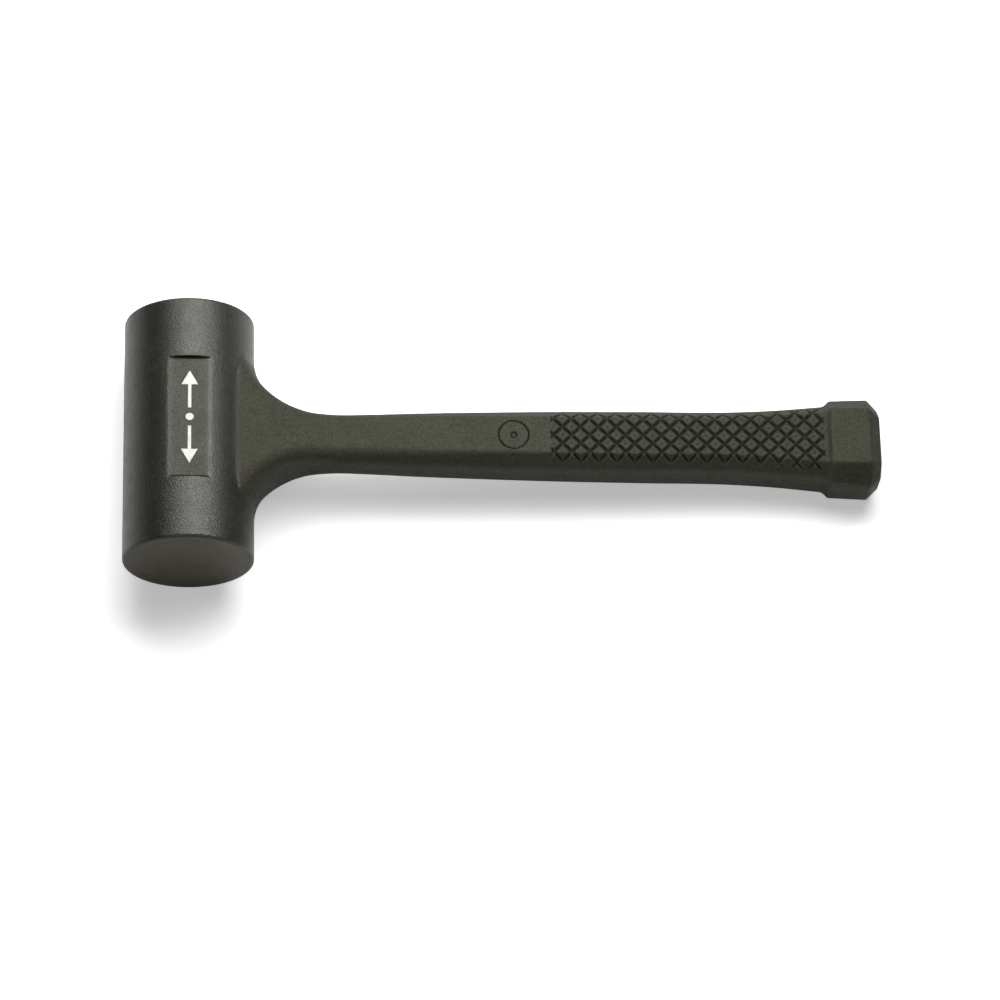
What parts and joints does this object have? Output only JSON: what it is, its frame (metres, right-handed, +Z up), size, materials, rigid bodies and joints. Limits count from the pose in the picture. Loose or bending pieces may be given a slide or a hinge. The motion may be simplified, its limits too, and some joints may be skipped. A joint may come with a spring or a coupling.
{
  "type": "dead blow mallet",
  "caption": "Dead blow mallet: cylindrical head with two flat striking faces, fish-tail neck, diamond-grooved eight-sided grip and stepped butt, over a canister of loose steel shot.",
  "frame": {"origin": "centre of the whole mallet's bounding box, on the handle's centre line, 125.3 mm from the head's striking axis", "axes": "+X from the head along the handle to the butt, +Y along the striking axis towards the rear face, +Z up out of the head's printed flat"},
  "size_m": [0.3026, 0.104, 0.052],
  "materials": {
    "jacket_urethane": "satin cast polyurethane, charcoal with a warm olive cast, fine speckle",
    "print_white": "thin matt white pad print",
    "steel": "plain drawn steel, lightly oiled",
    "weld": "rippled weld bead",
    "shot": "cast steel shot, dull grey",
    "spring_steel": "blued spring steel",
    "zinc_plate": "bright zinc plate"
  },
  "bodies": {
    "mallet": {"outer_jacket": "jacket_urethane", "printed_mark": "print_white", "canister_tube": "steel", "canister_cap_front": "steel", "canister_cap_rear": "steel", "cap_weld_front": "weld", "cap_weld_rear": "weld", "core_socket": "steel", "socket_weld": "weld", "socket_cross_pin": "spring_steel", "handle_core_rod": "steel", "core_collars": "steel", "anchor_plate": "zinc_plate", "lock_washer": "spring_steel", "anchor_nut": "zinc_plate"},
    "shot": {"steel_shot": "shot"}
  },
  "joints": [
    {"name": "shot_slide", "type": "slide", "parent": "mallet", "child": "shot", "axis": [0, 1, 0], "range_m": [-0.0108, 0.0108]}
  ]
}
